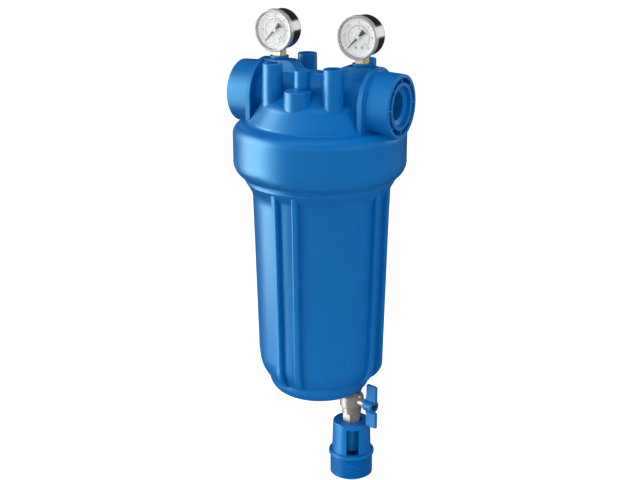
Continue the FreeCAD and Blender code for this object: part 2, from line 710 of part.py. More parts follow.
def vent_screw():
    """Hand screw of the air vent: threaded shank, foot flange, round head and a bleed bore."""
    shank = grooved_rod(VENT_BORE_LOW_Z + 1, VENT_THREAD_R, VENT_THREAD_R - 0.6, 1.25, 9)
    waist = disc(VENT_THREAD_R - 0.8, VENT_BASE_TOP_Z - 4, VENT_BASE_TOP_Z + 1)
    flange = disc(VENT_FLANGE_R, VENT_BASE_TOP_Z + 0.2, VENT_FLANGE_TOP_Z)
    neck = disc(VENT_KNOB_R - 1.0, VENT_FLANGE_TOP_Z - 0.1, VENT_KNOB_LOW_Z + 0.1)
    knob = revolve(
        (0, VENT_KNOB_LOW_Z), (VENT_KNOB_R - 0.5, VENT_KNOB_LOW_Z), (VENT_KNOB_R, VENT_KNOB_LOW_Z + 0.5),
        (VENT_KNOB_R, VENT_KNOB_TOP_Z - 0.9),
        ((VENT_KNOB_R - 0.3, VENT_KNOB_TOP_Z - 0.3), (VENT_KNOB_R - 0.9, VENT_KNOB_TOP_Z)),
        (VENT_KNOB_R - 2.2, VENT_KNOB_TOP_Z), (VENT_KNOB_R - 2.8, VENT_KNOB_TOP_Z - 0.6),
        (0, VENT_KNOB_TOP_Z - 0.6))
    screw = union([shank, waist, flange, neck, knob])
    bleed_z = VENT_KNOB_LOW_Z + 1.5
    screw = screw.cut(disc(1.2, VENT_BORE_LOW_Z, bleed_z))
    screw = screw.cut(cylinder(0.8, vec(0, 0, bleed_z - 0.2), Y_AXIS, 10))
    screw.translate(vec(0, VENT_Y, 0))
    return screw


def vent_oring():
    return Part.makeTorus(VENT_ORING_R, VENT_ORING_SECTION_R, vec(0, VENT_Y, VENT_BASE_TOP_Z - 1.4), Z_AXIS)


# ---------------------------------------------------------------- gauges, built around the dial's centre


def revolve_to_front(start, *steps):
    """Solid of revolution about the dial's axis: radius, then height towards the front."""
    shape = revolve(start, *steps)
    shape.rotate(ORIGIN, X_AXIS, 90)
    return shape


def dial_point(radius, angle, height):
    """Point on the dial by angle from +X towards +Z, at a height towards the front."""
    return vec(radius * math.cos(math.radians(angle)), -height, radius * math.sin(math.radians(angle)))


def front_disc(radius, low, high, angle=0.0, distance=0.0):
    """Disc square to the dial's axis, between two heights towards the front."""
    return cylinder(radius, dial_point(distance, angle, low), vec(0, -1, 0), high - low)


def gauge_case():
    """Deep cup of the gauge with a hole below for the stem."""
    outer_r = GAUGE_CASE_R
    inner_r = GAUGE_CASE_R - GAUGE_CASE_WALL
    back = -GAUGE_BACK_Y
    front = GAUGE_WINDOW_HEIGHT + WINDOW_THICKNESS
    cup = revolve_to_front(
        (0, back), (outer_r - 3, back), ((outer_r - 0.9, back + 0.9), (outer_r, back + 3)),
        (outer_r, front), (inner_r, front), (inner_r, back + 3.2), ((inner_r - 0.6, back + 2.0), (inner_r - 2, back + 1.3)),
        (0, back + 1.3))
    return cup.cut(disc(GAUGE_NECK_R + RUNNING, -25, -15))


def gauge_bezel():
    """Snap ring over the mouth of the case, stepped inwards to the window."""
    front = -GAUGE_FRONT_Y
    lip = GAUGE_WINDOW_HEIGHT + WINDOW_THICKNESS + RUNNING
    inner_r = GAUGE_CASE_R + RUNNING
    low = front - GAUGE_RIM_DEPTH
    return revolve_to_front(
        (inner_r, low), (GAUGE_RIM_R - 0.4, low), (GAUGE_RIM_R, low + 0.4), (GAUGE_RIM_R, front - 0.9),
        ((GAUGE_RIM_R - 0.25, front - 0.25), (GAUGE_RIM_R - 0.9, front)),
        (GAUGE_RIM_R - 1.4, front), (GAUGE_RIM_R - 1.6, front - 0.4), (GAUGE_RIM_R - 2.2, front - 0.4),
        (GAUGE_RIM_R - 2.4, front - 0.7), (GAUGE_RIM_R - 2.9, front - 0.8), (GAUGE_RIM_R - 3.0, lip),
        (inner_r, lip))


def gauge_window():
    radius = GAUGE_CASE_R - GAUGE_CASE_WALL - RUNNING
    high = GAUGE_WINDOW_HEIGHT + WINDOW_THICKNESS
    return revolve_to_front(
        (0, GAUGE_WINDOW_HEIGHT), (radius, GAUGE_WINDOW_HEIGHT), (radius, high - 0.3), (radius - 0.3, high),
        (0, high))


def dial_screw_place(side, height):
    return vec(side * DIAL_SCREW_X, -height, DIAL_SCREW_Z)


def gauge_dial():
    """Stamped dial with an upturned rim that stops just behind the window."""
    dial = revolve_to_front(
        (0, DIAL_HEIGHT - DIAL_THICKNESS), (DIAL_R, DIAL_HEIGHT - DIAL_THICKNESS),
        (DIAL_R, DIAL_RIM_HEIGHT), (DIAL_R - DIAL_RIM_WALL, DIAL_RIM_HEIGHT),
        (DIAL_R - DIAL_RIM_WALL, DIAL_HEIGHT), (0, DIAL_HEIGHT))
    dial = dial.cut(front_disc(1.6, DIAL_HEIGHT - 2, DIAL_HEIGHT + 1))
    for side in (-1, 1):
        dial = dial.cut(cylinder(0.8, dial_screw_place(side, DIAL_HEIGHT - 2), vec(0, -1, 0), 4))
    return dial


def gauge_dial_screws():
    """Two slotted screws that hold the dial to the movement."""
    screws = []
    for side in (-1, 1):
        head = cylinder(DIAL_SCREW_HEAD_R, dial_screw_place(side, DIAL_HEIGHT), vec(0, -1, 0), 0.6)
        shank_start = dial_screw_place(side, PLATE_HEIGHT + 0.2)
        shank = cylinder(0.75, shank_start, vec(0, -1, 0), DIAL_HEIGHT - PLATE_HEIGHT)
        slot_x = side * DIAL_SCREW_X
        slot = block(slot_x - 2, slot_x + 2, -DIAL_HEIGHT - 1, -DIAL_HEIGHT - 0.35,
                     DIAL_SCREW_Z - 0.2, DIAL_SCREW_Z + 0.2)
        screws.append(head.fuse(shank).cut(slot))
    return Part.makeCompound(screws)


def tooth_points(angle, root_r, tip_r, height):
    """Corners of one straight-sided tooth, in turning order, at a height towards the front."""
    root_turn = math.degrees(TOOTH_ROOT_HALF / root_r)
    tip_turn = math.degrees(TOOTH_TIP_HALF / tip_r)
    return [
        dial_point(root_r, angle - root_turn, height), dial_point(tip_r, angle - tip_turn, height),
        dial_point(tip_r, angle + tip_turn, height), dial_point(root_r, angle + root_turn, height)]


def gauge_arbor():
    """Pointer shaft with its pinion and its cap, turned and cut from one rod."""
    top = POINTER_HEIGHT + POINTER_THICKNESS
    rod = revolve_to_front(
        (0, 0.2), (ARBOR_R, 0.2), (ARBOR_R, top), (POINTER_CAP_R, top),
        (POINTER_CAP_R, POINTER_CAP_TOP - 0.4),
        ((POINTER_CAP_R - 0.15, POINTER_CAP_TOP - 0.12), (POINTER_CAP_R - 0.5, POINTER_CAP_TOP)),
        (0, POINTER_CAP_TOP))
    root_r = GEAR_MODULE * PINION_TEETH / 2 - GEAR_DEDENDUM
    tip_r = GEAR_MODULE * PINION_TEETH / 2 + GEAR_ADDENDUM
    points = []
    for index in range(PINION_TEETH):
        points += tooth_points(360.0 / PINION_TEETH * (index + 0.5), root_r, tip_r, GEAR_LOW)
    return rod.fuse(prism(points, vec(0, GEAR_LOW - GEAR_HIGH, 0)))


def gauge_pointer():
    """Flat needle with a long flared tail, at rest on the zero of the scale."""
    low = POINTER_HEIGHT
    points = [
        vec(-POINTER_TAIL, -low, -POINTER_TAIL_HALF), vec(-2.0, -low, -0.9), vec(0, -low, -1.2),
        vec(POINTER_REACH, -low, -0.25), vec(POINTER_REACH, -low, 0.25), vec(0, -low, 1.2),
        vec(-2.0, -low, 0.9), vec(-POINTER_TAIL, -low, POINTER_TAIL_HALF)]
    needle = prism(points, vec(0, -POINTER_THICKNESS, 0))
    needle = needle.fuse(front_disc(2.2, low, low + POINTER_THICKNESS))
    needle = needle.cut(front_disc(ARBOR_R, low - 1, low + 2))
    needle.rotate(ORIGIN, Y_AXIS, -POINTER_REST_ANGLE)
    return needle


def sector_centre_x():
    return GEAR_MODULE * (PINION_TEETH + SECTOR_TEETH) / 2


def gauge_sector():
    """Toothed quadrant on its own arbor; its tail is driven by the tip of the curved tube."""
    centre_x = sector_centre_x()
    pitch_r = GEAR_MODULE * SECTOR_TEETH / 2
    root_r = pitch_r - GEAR_DEDENDUM
    tip_r = pitch_r + GEAR_ADDENDUM
    low = GEAR_LOW + 0.3
    high = GEAR_HIGH - 0.3
    span = SECTOR_LAST_ANGLE - SECTOR_FIRST_ANGLE
    rim = Part.makeCylinder(root_r, high - low, vec(0, 0, low), Z_AXIS, span)
    rim.rotate(ORIGIN, Z_AXIS, SECTOR_FIRST_ANGLE)
    rim.rotate(ORIGIN, X_AXIS, 90)
    lightening = front_disc(root_r - 1.8, low - 1, high + 1).cut(front_disc(3.2, low - 2, high + 2))
    middle = (SECTOR_FIRST_ANGLE + SECTOR_LAST_ANGLE) / 2
    spoke = block(0, root_r, -high, -low, -1.3, 1.3)
    spoke.rotate(ORIGIN, Y_AXIS, -middle)
    tail = block(-4.5, 0, -high, -low, -1.0, 1.0)
    tail.rotate(ORIGIN, Y_AXIS, -middle)
    arbor = front_disc(ARBOR_R, 0.2, PLATE_HEIGHT + PLATE_THICKNESS)
    boss = front_disc(2.0, low, high)
    quadrant = union([rim.cut(lightening), spoke, tail, boss, arbor])
    quadrant.translate(vec(centre_x, 0, 0))
    teeth = []
    pitch_angle = 360.0 / SECTOR_TEETH
    first = math.ceil((SECTOR_FIRST_ANGLE - 180) / pitch_angle)
    last = math.floor((SECTOR_LAST_ANGLE - 180) / pitch_angle)
    for index in range(first, last + 1):
        points = tooth_points(180 + pitch_angle * index, root_r - 0.3, tip_r, low)
        tooth = prism(points, vec(0, low - high, 0))
        tooth.translate(vec(centre_x, 0, 0))
        teeth.append(tooth)
    return union([quadrant] + teeth)


def gauge_frame():
    """Two brass plates on pillars that carry both arbors, with an arm down to the stem block."""
    centre_x = sector_centre_x()
    parts = []
    for low in (BACK_PLATE_HEIGHT, PLATE_HEIGHT):
        high = low + PLATE_THICKNESS
        parts.append(block(-3.5, centre_x + 2.5, -high, -low, -3.0, 3.0))
        parts.append(block(-6.0, 6.0, -high, -low, -12.4, -2.0))
    for x, z in ((-4.6, -9.5), (4.6, -9.5)):
        foot = vec(x, -BACK_PLATE_HEIGHT, z)
        pillar = cylinder(PILLAR_R, foot, vec(0, -1, 0), PLATE_HEIGHT - BACK_PLATE_HEIGHT)
        parts.append(pillar)
    frame = union(parts)
    for x in (0, centre_x):
        frame = frame.cut(cylinder(ARBOR_R + RUNNING, vec(x, 5, 0), vec(0, -1, 0), 20))
    for side in (-1, 1):
        frame = frame.cut(cylinder(0.8, dial_screw_place(side, PLATE_HEIGHT - 1), vec(0, -1, 0), 4))
    return frame


def gauge_tube():
    """Curved flattened tube that uncoils with pressure; closed at its tip."""
    section = prism([
        vec(BOURDON_R - 0.9, 0, BOURDON_LOW), vec(BOURDON_R + 0.9, 0, BOURDON_LOW),
        vec(BOURDON_R + 0.9, 0, BOURDON_HIGH), vec(BOURDON_R - 0.9, 0, BOURDON_HIGH)],
        vec(0, 0.001, 0)).Faces
    face = [item for item in section if item.Area > 1][0]
    curve = face.revolve(ORIGIN, Z_AXIS, BOURDON_SWEEP)
    curve = curve.makeFillet(0.6, [edge for edge in curve.Edges if edge.Length > 20])
    curve.rotate(ORIGIN, Z_AXIS, BOURDON_START_ANGLE)
    curve.rotate(ORIGIN, X_AXIS, 90)
    return curve


def gauge_socket():
    """Brass stem: pipe thread, square shank, neck through the case and block for the curved tube."""
    base_z = GAUGE_BOSS_TOP_Z - GAUGE_Z
    shank_top = -GAUGE_CASE_R - 0.3
    wall_inside = -GAUGE_CASE_R + GAUGE_CASE_WALL
    half = GAUGE_SHANK_HALF
    thread = grooved_rod(base_z - 11.5, GAUGE_THREAD_R - RUNNING, GAUGE_THREAD_R - 0.6, 0.907, 12)
    waist = disc(GAUGE_THREAD_R - 0.6, base_z - 1, base_z + 1)
    shank = block(-half, half, -half, half, base_z + RUNNING, shank_top)
    shank = shank.common(disc(half + 1.6, base_z, shank_top))
    neck = disc(GAUGE_NECK_R, shank_top - 1, wall_inside + 1.1)
    holder = block(-4.2, 4.2, -BOURDON_HIGH - 0.6, -BOURDON_LOW + 0.6, wall_inside + 0.7, -9.0)
    socket = union([thread, waist, shank, neck, holder])
    socket = socket.cut(disc(1.4, base_z - 13, -BOURDON_R))
    return socket.cut(gauge_tube())


def gauge_nodes(name, x):
    nodes = {
        "socket": gauge_socket(), "case": gauge_case(), "bezel": gauge_bezel(), "window": gauge_window(),
        "dial": gauge_dial(), "dial_screws": gauge_dial_screws(), "movement_frame": gauge_frame(),
        "bourdon_tube": gauge_tube(), "sector_gear": gauge_sector(), "pinion_arbor": gauge_arbor(),
        "pointer": gauge_pointer()}
    placed = {}
    for part_name, shape in nodes.items():
        shape.translate(vec(x, 0, GAUGE_Z))
        placed[name + "_" + part_name] = shape
    return placed


# ---------------------------------------------------------------- drain valve, built round x = 0


def drain_seal():
    low = vec(0, 0, VALVE_SEAT_Z - VALVE_SEAL_THICKNESS)
    return tube(10.2, VALVE_THREAD_R + 0.1, low, Z_AXIS, VALVE_SEAL_THICKNESS)


def valve_body():
    """Nickel-plated body: upper thread and hexagon, round barrel, stem boss and stop lug."""
    hex_top = VALVE_SEAT_Z - VALVE_SEAL_THICKNESS
    hex_low = hex_top - VALVE_HEX_HEIGHT
    barrel = revolve(
        (0, hex_low + 1), (9.0, hex_low + 1), ((12.2, hex_low - 0.6), (VALVE_BODY_R, hex_low - 3.0)),
        (VALVE_BODY_R, VALVE_BODY_LOW_Z + 6.2),
        ((VALVE_BODY_R - 0.5, VALVE_BODY_LOW_Z + 4.9), (VALVE_BODY_R - 1.8, VALVE_BODY_LOW_Z + 4.2)),
        (VALVE_RING_R + 0.4, VALVE_BODY_LOW_Z + 3.9), (VALVE_RING_R + 0.4, VALVE_BODY_LOW_Z + 0.4),
        (VALVE_RING_R, VALVE_BODY_LOW_Z), (0, VALVE_BODY_LOW_Z))
    thread = grooved_rod(hex_top - 0.5, VALVE_THREAD_R, VALVE_THREAD_R - 0.8, 1.337, 9)
    boss = cylinder(STEM_BOSS_R, vec(6, 0, VALVE_STEM_Z), X_AXIS, STEM_BOSS_END_X - 6)
    lug = cylinder(2.6, vec(6, 0, hex_top - 2.9), X_AXIS, 10.5)
    body = union([thread, chamfered_hexagon(VALVE_HEX, hex_low, hex_top, 0, 0, 30), barrel, boss, lug])
    seat_top = VALVE_STEM_Z + BALL_R
    body = body.cut(disc(VALVE_BODY_BORE_R, VALVE_BODY_LOW_Z - 1, seat_top + 0.2))
    body = body.cut(disc(BALL_BORE_R, VALVE_STEM_Z, VALVE_SEAT_Z + 20))
    return body.cut(cylinder(STEM_R + RUNNING, vec(5, 0, VALVE_STEM_Z), X_AXIS, 20))


def valve_end():
    """Lower end piece: plug that holds the seats, plain ring, hexagon and outlet thread."""
    ring_top = VALVE_BODY_LOW_Z - RUNNING
    plug = disc(VALVE_BODY_BORE_R - RUNNING, ring_top - 1, VALVE_STEM_Z - BALL_R - 0.2)
    thread = grooved_rod(ADAPTER_TOP_Z - 10.0, VALVE_END_R, VALVE_END_R - 0.8, 1.337, 7)
    neck = disc(VALVE_END_R - 0.5, ADAPTER_TOP_Z - 1, ADAPTER_TOP_Z + 1)
    ring = disc(VALVE_RING_R, VALVE_END_HEX_TOP_Z, ring_top)
    nut = chamfered_hexagon(
        VALVE_END_HEX, ADAPTER_TOP_Z + RUNNING, VALVE_END_HEX_TOP_Z + 0.5, 0, 0, VALVE_END_HEX_TURN)
    shape = union([plug, thread, neck, ring, nut])
    return shape.cut(disc(BALL_BORE_R, ADAPTER_TOP_Z - 12, VALVE_STEM_Z))


def valve_ball():
    ball = Part.makeSphere(BALL_R, vec(0, 0, VALVE_STEM_Z))
    ball = ball.cut(disc(BALL_BORE_R, VALVE_STEM_Z - 10, VALVE_STEM_Z + 10))
    slot = block(STEM_TIP_X, 10, -BALL_SLOT_HALF, BALL_SLOT_HALF, VALVE_STEM_Z - 10, VALVE_STEM_Z + 10)
    return ball.cut(slot)


def valve_seats():
    """Two soft rings that the ball turns between, one above and one below."""
    ball = Part.makeSphere(BALL_R + RUNNING, vec(0, 0, VALVE_STEM_Z))
    seats = []
    for low in (VALVE_STEM_Z + BALL_R - SEAT_LENGTH, VALVE_STEM_Z - BALL_R):
        ring = tube(VALVE_BODY_BORE_R - 0.1, BALL_BORE_R + 0.3, vec(0, 0, low), Z_AXIS, SEAT_LENGTH)
        seats.append(ring.cut(ball))
    return Part.makeCompound(seats)


def valve_stem():
    """Stem with a tang in the ball's slot, two seal grooves and a turned end in the handle."""
    start = vec(STEM_TIP_X + 2.3, 0, VALVE_STEM_Z)
    rod = cylinder(STEM_R, start, X_AXIS, STEM_BOSS_END_X + 0.6 - start.x)
    end_start = vec(STEM_BOSS_END_X, 0, VALVE_STEM_Z)
    end = cylinder(STEM_R - 0.5, end_start, X_AXIS, HUB_START_X + 9.0 - STEM_BOSS_END_X)
    tang = block(
        STEM_TIP_X + RUNNING, STEM_TIP_X + 3, -BALL_SLOT_HALF + RUNNING, BALL_SLOT_HALF - RUNNING,
        VALVE_STEM_Z - 2.6, VALVE_STEM_Z + 2.6)
    stem = union([rod.cut(Part.makeSphere(BALL_R + RUNNING, vec(0, 0, VALVE_STEM_Z))), end, tang])
    for x in STEM_SEAL_PLACES:
        stem = stem.cut(tube(STEM_R + 1, STEM_R - 1.0, vec(x - 0.6, 0, VALVE_STEM_Z), X_AXIS, 1.2))
    return stem.cut(cylinder(1.25, vec(HUB_START_X + 1, 0, VALVE_STEM_Z), X_AXIS, 10))


def valve_stem_orings():
    rings = [Part.makeTorus(STEM_R - 0.46, 0.49, vec(x, 0, VALVE_STEM_Z), X_AXIS) for x in STEM_SEAL_PLACES]
    return Part.makeCompound(rings)


def valve_wing():
    """Upright plate of the handle; it reaches past the hub and is open there for the screw."""
    wing = block(
        WING_START_X, WING_START_X + WING_WIDTH, -WING_THICKNESS / 2, WING_THICKNESS / 2,
        VALVE_STEM_Z - WING_REACH, VALVE_STEM_Z + WING_REACH)
    corners = [edge for edge in wing.Edges if edge.BoundBox.YLength > 1 and edge.BoundBox.XLength < 0.01]
    wing = wing.makeFillet(1.2, corners)
    rim = [edge for edge in wing.Edges if edge.BoundBox.YLength < 0.01]
    wing = wing.makeFillet(0.6, rim)
    return wing.cut(cylinder(HUB_R, vec(HUB_START_X + HUB_LENGTH - 2, 0, VALVE_STEM_Z), X_AXIS, 10))


def valve_handle():
    """Butterfly handle: hub on the stem and two upright wings, drawn in the open position."""
    end_x = HUB_START_X + HUB_LENGTH
    hub = cylinder(HUB_R, vec(HUB_START_X, 0, VALVE_STEM_Z), X_AXIS, HUB_LENGTH)
    rims = [edge for edge in hub.Edges if edge.BoundBox.XLength < 0.01]
    hub = hub.makeFillet(0.7, rims)
    half = WING_THICKNESS / 2
    web_x = HUB_START_X + 0.8
    webs = []
    for side in (-1, 1):
        web = prism([
            vec(web_x, -half - 2.2, VALVE_STEM_Z), vec(web_x, half + 2.2, VALVE_STEM_Z),
            vec(web_x, half - 0.4, VALVE_STEM_Z + side * (HUB_R + 4)),
            vec(web_x, 0.4 - half, VALVE_STEM_Z + side * (HUB_R + 4))],
            vec(HUB_LENGTH - 2, 0, 0))
        webs.append(web)
    handle = union([hub, valve_wing()] + webs)
    handle = handle.cut(cylinder(STEM_R - 0.45, vec(HUB_START_X - 1, 0, VALVE_STEM_Z), X_AXIS, 30))
    return handle.cut(cylinder(4.3, vec(end_x - 3.2, 0, VALVE_STEM_Z), X_AXIS, 5))


def valve_handle_screw():
    """Pan-head screw with a cross recess that holds the handle on the stem."""
    end_x = HUB_START_X + HUB_LENGTH
    low = end_x - 3.1
    profile = revolve((0, 0), (4.1, 0), (4.1, 1.1), ((3.1, 2.2), (0, 2.8)))
    profile.rotate(ORIGIN, Y_AXIS, 90)
    profile.translate(vec(low, 0, VALVE_STEM_Z))
    shank = cylinder(1.2, vec(low - 7.0, 0, VALVE_STEM_Z), X_AXIS, 7.5)
    washer_gap = cylinder(2.6, vec(HUB_START_X + 9.05, 0, VALVE_STEM_Z), X_AXIS, low - HUB_START_X - 9.0)
    screw = union([profile, shank, washer_gap])
    for turn in (0, 90):
        slot = block(end_x - 1.9, end_x + 1, -0.55, 0.55, -2.4, 2.4)
        slot.translate(vec(0, 0, VALVE_STEM_Z))
        screw = screw.cut(turned(slot, vec(0, 0, VALVE_STEM_Z), X_AXIS, turn))
    return screw


def adapter_windows():
    """Wedges that open the side of the adapter between the inner tube and the air."""
    far = ADAPTER_NECK_R + 2
    half = math.radians(ADAPTER_WINDOW_HALF_ANGLE)
    low = ADAPTER_FLANGE_Z + 0.2
    wedge = prism([
        vec(0, 0, low), vec(far * math.cos(half), -far * math.sin(half), low),
        vec(far * math.cos(half), far * math.sin(half), low)], vec(0, 0, ADAPTER_TOP_Z - 3.4 - low))
    wedge = wedge.cut(disc(VALVE_END_R + 4.5, low - 1, ADAPTER_TOP_Z))
    step = 360 / ADAPTER_WINDOW_COUNT
    return [turned(wedge, ORIGIN, Z_AXIS, ADAPTER_WINDOW_ANGLE + step * index)
            for index in range(ADAPTER_WINDOW_COUNT)]


def drain_adapter():
    """Air-gap funnel: coned top, windowed body, inner tube, flange and ring-drawn pipe thread."""
    top = ADAPTER_TOP_Z
    flange_low = ADAPTER_FLANGE_Z - ADAPTER_FLANGE_THICKNESS
    outer = revolve(
        (0, ADAPTER_LIP_Z), (ADAPTER_LIP_R, ADAPTER_LIP_Z), (ADAPTER_TOP_R - 0.8, top + 1.6),
        (ADAPTER_TOP_R, top + 0.6), (ADAPTER_NECK_R, ADAPTER_FLANGE_Z),
        (ADAPTER_FLANGE_R - 0.6, ADAPTER_FLANGE_Z), (ADAPTER_FLANGE_R, ADAPTER_FLANGE_Z - 0.6),
        (ADAPTER_FLANGE_R, flange_low + 0.8), (ADAPTER_FLANGE_R - 0.8, flange_low), (0, flange_low))
    bottom = ADAPTER_BOTTOM_Z
    thread = grooved_rod(
        bottom + 1.0, ADAPTER_THREAD_R, ADAPTER_THREAD_ROOT_R, PIPE_PITCH, ADAPTER_THREAD_TURNS)
    lead = revolve(
        (0, bottom), (ADAPTER_THREAD_ROOT_R, bottom), (ADAPTER_THREAD_R, bottom + 1.1), (0, bottom + 1.1))
    neck = disc(ADAPTER_THREAD_ROOT_R, bottom + 10, flange_low + 1)
    inner_tube = disc(VALVE_END_R + 3.4, ADAPTER_FLANGE_Z + 2, top - 1)
    inside = revolve(
        (0, bottom - 1), (ADAPTER_THREAD_ROOT_R - 3.0, bottom - 1),
        (ADAPTER_THREAD_ROOT_R - 3.0, flange_low),
        (ADAPTER_NECK_R - ADAPTER_WALL, ADAPTER_FLANGE_Z), (ADAPTER_TOP_R - ADAPTER_WALL, top - 3.4),
        (0, top - 3.4))
    shape = union([outer, thread, lead, neck]).cut(inside).fuse(inner_tube)
    shape = shape.cut(disc(ADAPTER_RECESS_R, top, ADAPTER_LIP_Z + 1))
    shape = shape.cut(disc(VALVE_END_R + RUNNING, ADAPTER_FLANGE_Z + 1, top + 1))
    for window in adapter_windows():
        shape = shape.cut(window)
    return shape


def drain_nodes():
    nodes = {
        "drain_seal": drain_seal(), "valve_body": valve_body(), "valve_end": valve_end(),
        "valve_ball": valve_ball(), "valve_seats": valve_seats(), "valve_stem": valve_stem(),
        "valve_stem_orings": valve_stem_orings(), "valve_handle": valve_handle(),
        "valve_handle_screw": valve_handle_screw(), "drain_adapter": drain_adapter()}
    for name, shape in nodes.items():
        if name != "drain_adapter":
            shape.rotate(ORIGIN, Z_AXIS, VALVE_TURN)
        shape.translate(vec(VALVE_X, 0, 0))
    return nodes


def housing_nodes():
    nodes = {
        "head": head(), "bowl": bowl(), "bowl_oring": bowl_oring(),
        "cartridge_media": cartridge_media(), "cartridge_core": cartridge_core(),
        "cartridge_top_cap": cartridge_top_cap(), "cartridge_bottom_cap": cartridge_bottom_cap(),
        "cartridge_top_gasket": cartridge_gasket(cartridge_top_z() - GASKET_THICKNESS),
        "cartridge_bottom_gasket": cartridge_gasket(cartridge_bottom_z()),
        "vent_screw": vent_screw(), "vent_oring": vent_oring()}
    nodes.update(gauge_nodes("inlet_gauge", -GAUGE_X))
    nodes.update(gauge_nodes("outlet_gauge", GAUGE_X))
    nodes.update(drain_nodes())
    return nodes


if __name__ == "__main__":
    os.makedirs("parts", exist_ok=True)
    for node_name, node_shape in housing_nodes().items():
        node_shape.translate(vec(0, 0, -BRACKET_TOP_Z))
        node_shape.exportStep("parts/" + node_name + ".step")
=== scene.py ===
"""Looks of the cartridge filter housing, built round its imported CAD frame. Lengths are in metres."""
import math

import bmesh
import bpy
from mathutils import Matrix, Vector


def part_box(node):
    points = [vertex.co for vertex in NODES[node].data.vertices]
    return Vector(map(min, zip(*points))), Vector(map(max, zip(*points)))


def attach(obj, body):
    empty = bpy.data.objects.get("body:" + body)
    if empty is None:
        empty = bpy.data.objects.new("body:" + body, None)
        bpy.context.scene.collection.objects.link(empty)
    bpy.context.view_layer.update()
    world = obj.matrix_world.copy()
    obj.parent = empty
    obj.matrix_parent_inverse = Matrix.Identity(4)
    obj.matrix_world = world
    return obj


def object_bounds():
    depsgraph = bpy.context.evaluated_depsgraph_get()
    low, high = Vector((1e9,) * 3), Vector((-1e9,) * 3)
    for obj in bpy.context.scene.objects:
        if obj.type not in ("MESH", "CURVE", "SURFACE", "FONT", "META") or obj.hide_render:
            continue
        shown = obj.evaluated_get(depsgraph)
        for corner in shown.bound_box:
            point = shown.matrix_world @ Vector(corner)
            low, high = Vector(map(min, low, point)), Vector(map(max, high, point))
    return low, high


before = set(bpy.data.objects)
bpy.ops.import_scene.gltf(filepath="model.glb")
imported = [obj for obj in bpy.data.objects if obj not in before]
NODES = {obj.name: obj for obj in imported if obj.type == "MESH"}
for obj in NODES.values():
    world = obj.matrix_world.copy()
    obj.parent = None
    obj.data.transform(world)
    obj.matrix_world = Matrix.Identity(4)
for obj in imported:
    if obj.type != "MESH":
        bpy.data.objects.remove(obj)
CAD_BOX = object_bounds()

MM = 0.001

# Plastics and metals, as linear red, green and blue
BLUE_PLASTIC = (0.0, 0.120, 0.425)
BLUE_PLASTIC_LIGHT = (0.0, 0.140, 0.468)
BLUE_NYLON = (0.0, 0.115, 0.385)
BLUE_NYLON_LIGHT = (0.0, 0.135, 0.430)
SHEEN_TINT = (0.32, 0.92, 1.0, 1.0)
NICKEL = (0.58, 0.54, 0.505)
BRASS = (0.80, 0.69, 0.46)
STEEL = (0.60, 0.60, 0.60)

# Gauge print: angles in degrees, rings as shares of the dial's radius
SCALE_START = 225.0
SCALE_SWEEP = 270.0
OUTER_NUMBERS = ["0", "2", "4", "6", "8", "10", "12"]
INNER_NUMBERS = ["0", "40", "80", "120", "160"]
OUTER_SCALE = 0.95
INNER_SCALE = 0.63
INNER_LINE_EDGE = 0.645
OUTER_NUMBER_RING = 0.77
INNER_NUMBER_RING = 0.47
DIAL_RIM_WALL = 0.6 * MM
DIAL_THICKNESS = 0.5 * MM
PRINT_LIFT = 0.06 * MM
PRINT_THICKNESS = 0.05 * MM

# Lamps: place from the middle of the housing, width and height in metres, and power in watts
SHEEN_LAMPS = {
    "sheen_left": ((-1.70, -0.70, 0.25), 1.4, 2.2, 74.0),
    "sheen_front_left": ((-1.35, -1.35, -0.3), 0.9, 2.6, 34.0),
    "glint_top": ((-0.5, -0.9, 1.7), 0.8, 0.5, 1.6),
    "back_right": ((1.1, 1.5, 0.45), 1.1, 0.9, 6.5)}
SHADE_LAMPS = {
    "shade_left": ((-1.4, -1.2, 0.5), 0.9, 1.8, 15.0),
    "fill_front": ((0.7, -1.9, 0.6), 1.2, 1.2, 6.5),
    "shade_right": ((2.0, -0.6, 0.8), 1.0, 1.0, 15.5),
    "top": ((0.2, -0.2, 1.9), 1.0, 1.0, 13.0)}
DRAIN_MIDDLE = (0.04, 0.0, -0.25)
DRAIN_SPOT_OFFSET = (-0.35, -0.85, 0.22)
DRAIN_SPOT_POWER = 0.09
DRAIN_SPOT_SPREAD = 28.0
FLOOR_HALF_WIDTH = 12.0

# Camera: angles in degrees, distance from the bowl's axis and height over the frame's origin
CAMERA_AZIMUTH = 29.16
CAMERA_PITCH = 18.64
CAMERA_DISTANCE = 1337.3 * MM
CAMERA_HEIGHT = 233.6 * MM


# ---------------------------------------------------------------- materials


def new_material(name):
    material = bpy.data.materials.new(name)
    material.use_nodes = True
    return material, material.node_tree, material.node_tree.nodes["Principled BSDF"]


def add_node(tree, kind, **values):
    """New shader node; each value goes to the setting of that name, or else to the input."""
    node = tree.nodes.new(kind)
    for key, value in values.items():
        if hasattr(node, key):
            setattr(node, key, value)
        else:
            node.inputs[key.replace("_", " ")].default_value = value
    return node


def noise(tree, scale, detail=3.0, roughness=0.5):
    """Three-dimensional noise in frame coordinates: scale is features per metre."""
    coordinates = add_node(tree, "ShaderNodeTexCoord")
    texture = add_node(tree, "ShaderNodeTexNoise", Scale=scale, Detail=detail, Roughness=roughness)
    tree.links.new(coordinates.outputs["Object"], texture.inputs["Vector"])
    return texture.outputs["Fac"]


def vary(tree, value, scale, low, high, detail=3.0):
    """Drives an input with noise between two values."""
    tree.links.new(ramp(tree, noise(tree, scale, detail), low, high), value)


def ramp(tree, source, low, high):
    """Maps 0..1 onto low..high."""
    node = add_node(tree, "ShaderNodeMapRange")
    node.inputs["To Min"].default_value = low
    node.inputs["To Max"].default_value = high
    tree.links.new(source, node.inputs["Value"])
    return node.outputs["Result"]


